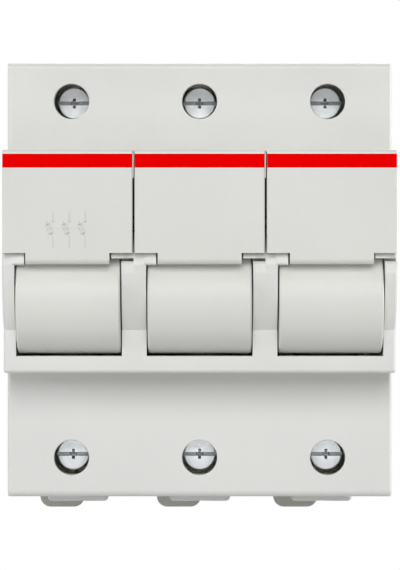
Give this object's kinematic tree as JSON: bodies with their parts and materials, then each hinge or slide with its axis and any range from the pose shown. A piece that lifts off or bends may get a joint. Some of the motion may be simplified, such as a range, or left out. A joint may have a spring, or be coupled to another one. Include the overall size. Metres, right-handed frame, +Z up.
{
  "type": "cartridge fuse holder",
  "caption": "Rail-mounted multi-pole holder for cylindrical fuses: tilting carriers joined as one bank, lift-cage screw terminals top and bottom, spring rail clips.",
  "frame": {"origin": "on the plane that seats on the rail, on the rail's centre line, in the middle pole", "axes": "+X to the right seen from the front, +Y out of the rear towards the rail, +Z up"},
  "size_m": [0.0794, 0.077, 0.0982],
  "materials": {
    "housing": "fine-textured pale grey moulding",
    "base": "pale grey moulding",
    "carrier": "satin pale grey moulding with a red stripe",
    "clip": "grey-beige glass-filled plastic",
    "screw_zinc": "bright zinc plate, bluish",
    "cage_steel": "zinc-plated steel",
    "rod_steel": "ground steel",
    "contact": "silver-plated copper alloy",
    "fuse_ceramic": "unglazed steatite tube",
    "fuse_cap": "silver-plated cap",
    "spring_wire": "spring wire"
  },
  "bodies": {
    "housing": {"front_housing": "housing", "rear_base": "base", "carrier_axle": "rod_steel", "housing_screw_1": "screw_zinc", "housing_screw_2": "screw_zinc", "housing_screw_3": "screw_zinc", "housing_screw_4": "screw_zinc", "left_upper_contact": "contact", "left_lower_contact": "contact", "middle_upper_contact": "contact", "middle_lower_contact": "contact", "right_upper_contact": "contact", "right_lower_contact": "contact", "left_clip_spring": "spring_wire", "middle_clip_spring": "spring_wire", "right_clip_spring": "spring_wire"},
    "carrier_bank": {"left_carrier": "carrier", "left_fuse_body": "fuse_ceramic", "left_fuse_upper_cap": "fuse_cap", "left_fuse_lower_cap": "fuse_cap", "middle_carrier": "carrier", "middle_fuse_body": "fuse_ceramic", "middle_fuse_upper_cap": "fuse_cap", "middle_fuse_lower_cap": "fuse_cap", "right_carrier": "carrier", "right_fuse_body": "fuse_ceramic", "right_fuse_upper_cap": "fuse_cap", "right_fuse_lower_cap": "fuse_cap", "carrier_tie_rod": "rod_steel"},
    "left_upper_screw_body": {"left_upper_screw": "screw_zinc"},
    "left_upper_cage_body": {"left_upper_cage": "cage_steel"},
    "left_lower_screw_body": {"left_lower_screw": "screw_zinc"},
    "left_lower_cage_body": {"left_lower_cage": "cage_steel"},
    "left_clip_body": {"left_rail_clip": "clip"},
    "middle_upper_screw_body": {"middle_upper_screw": "screw_zinc"},
    "middle_upper_cage_body": {"middle_upper_cage": "cage_steel"},
    "middle_lower_screw_body": {"middle_lower_screw": "screw_zinc"},
    "middle_lower_cage_body": {"middle_lower_cage": "cage_steel"},
    "middle_clip_body": {"middle_rail_clip": "clip"},
    "right_upper_screw_body": {"right_upper_screw": "screw_zinc"},
    "right_upper_cage_body": {"right_upper_cage": "cage_steel"},
    "right_lower_screw_body": {"right_lower_screw": "screw_zinc"},
    "right_lower_cage_body": {"right_lower_cage": "cage_steel"},
    "right_clip_body": {"right_rail_clip": "clip"}
  },
  "joints": [
    {"name": "carrier_hinge", "type": "hinge", "parent": "housing", "child": "carrier_bank", "pos_m": [0, -0.0602, -0.00775], "axis": [1, 0, 0], "range_deg": [0, 90]},
    {"name": "left_upper_cage_lift", "type": "slide", "parent": "housing", "child": "left_upper_cage_body", "axis": [0, -1, 0], "range_m": [0, 0.0072]},
    {"name": "left_upper_screw_turn", "type": "hinge", "parent": "housing", "child": "left_upper_screw_body", "pos_m": [-0.0265, -0.042, 0.0331], "axis": [0, 1, 0], "range_deg": [0, 3240]},
    {"name": "left_lower_cage_lift", "type": "slide", "parent": "housing", "child": "left_lower_cage_body", "axis": [0, -1, 0], "range_m": [0, 0.0072]},
    {"name": "left_lower_screw_turn", "type": "hinge", "parent": "housing", "child": "left_lower_screw_body", "pos_m": [-0.0265, -0.0457, -0.0406], "axis": [0, 1, 0], "range_deg": [0, 3240]},
    {"name": "left_clip_slide", "type": "slide", "parent": "housing", "child": "left_clip_body", "axis": [0, 0, -1], "range_m": [0, 0.0045], "stiffness_N_per_m": 900, "springref_m": -0.004, "deforming": ["left_clip_spring"]},
    {"name": "middle_upper_cage_lift", "type": "slide", "parent": "housing", "child": "middle_upper_cage_body", "axis": [0, -1, 0], "range_m": [0, 0.0072]},
    {"name": "middle_upper_screw_turn", "type": "hinge", "parent": "housing", "child": "middle_upper_screw_body", "pos_m": [0, -0.042, 0.0331], "axis": [0, 1, 0], "range_deg": [0, 3240]},
    {"name": "middle_lower_cage_lift", "type": "slide", "parent": "housing", "child": "middle_lower_cage_body", "axis": [0, -1, 0], "range_m": [0, 0.0072]},
    {"name": "middle_lower_screw_turn", "type": "hinge", "parent": "housing", "child": "middle_lower_screw_body", "pos_m": [0, -0.0457, -0.0406], "axis": [0, 1, 0], "range_deg": [0, 3240]},
    {"name": "middle_clip_slide", "type": "slide", "parent": "housing", "child": "middle_clip_body", "axis": [0, 0, -1], "range_m": [0, 0.0045], "stiffness_N_per_m": 900, "springref_m": -0.004, "deforming": ["middle_clip_spring"]},
    {"name": "right_upper_cage_lift", "type": "slide", "parent": "housing", "child": "right_upper_cage_body", "axis": [0, -1, 0], "range_m": [0, 0.0072]},
    {"name": "right_upper_screw_turn", "type": "hinge", "parent": "housing", "child": "right_upper_screw_body", "pos_m": [0.0265, -0.042, 0.0331], "axis": [0, 1, 0], "range_deg": [0, 3240]},
    {"name": "right_lower_cage_lift", "type": "slide", "parent": "housing", "child": "right_lower_cage_body", "axis": [0, -1, 0], "range_m": [0, 0.0072]},
    {"name": "right_lower_screw_turn", "type": "hinge", "parent": "housing", "child": "right_lower_screw_body", "pos_m": [0.0265, -0.0457, -0.0406], "axis": [0, 1, 0], "range_deg": [0, 3240]},
    {"name": "right_clip_slide", "type": "slide", "parent": "housing", "child": "right_clip_body", "axis": [0, 0, -1], "range_m": [0, 0.0045], "stiffness_N_per_m": 900, "springref_m": -0.004, "deforming": ["right_clip_spring"]}
  ],
  "couplings": [
    {"joint": "left_upper_screw_turn", "follows": "left_upper_cage_lift", "rad_per_m": 7854},
    {"joint": "left_lower_screw_turn", "follows": "left_lower_cage_lift", "rad_per_m": 7854},
    {"joint": "middle_upper_screw_turn", "follows": "middle_upper_cage_lift", "rad_per_m": 7854},
    {"joint": "middle_lower_screw_turn", "follows": "middle_lower_cage_lift", "rad_per_m": 7854},
    {"joint": "right_upper_screw_turn", "follows": "right_upper_cage_lift", "rad_per_m": 7854},
    {"joint": "right_lower_screw_turn", "follows": "right_lower_cage_lift", "rad_per_m": 7854}
  ]
}
